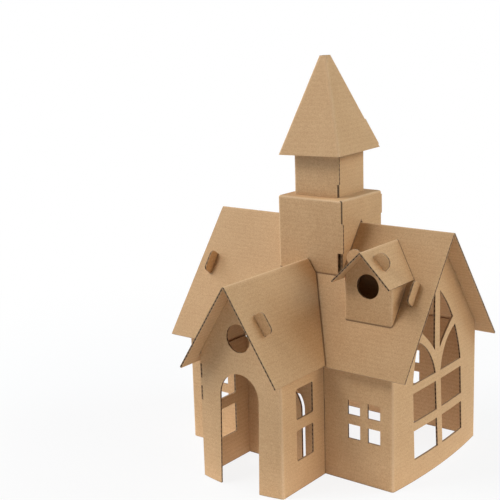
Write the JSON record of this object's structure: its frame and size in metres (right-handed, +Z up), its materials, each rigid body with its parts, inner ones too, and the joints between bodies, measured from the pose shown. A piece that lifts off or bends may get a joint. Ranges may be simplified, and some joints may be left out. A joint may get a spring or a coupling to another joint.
{
  "type": "cardboard toy castle",
  "caption": "Toy castle of folded corrugated board: gabled hall with gothic tracery windows, arched porch, round-holed dormer, square tower with belfry and spire, held by tabs and slots",
  "frame": {"origin": "on the floor, in the middle of the castle's length and depth", "axes": "X along the hall's ridge, -Y out of the porch door, +Z up"},
  "size_m": [0.21, 0.197, 0.2983],
  "materials": {
    "kraft_board": "matt brown kraft liner over fine flutes"
  },
  "bodies": {
    "root": {"hall_walls": "kraft_board", "hall_roof": "kraft_board", "porch_walls": "kraft_board", "porch_side": "kraft_board", "porch_roof": "kraft_board", "tower_walls": "kraft_board", "belfry_walls": "kraft_board", "spire": "kraft_board", "dormer_walls": "kraft_board", "dormer_roof": "kraft_board"}
  },
  "joints": []
}
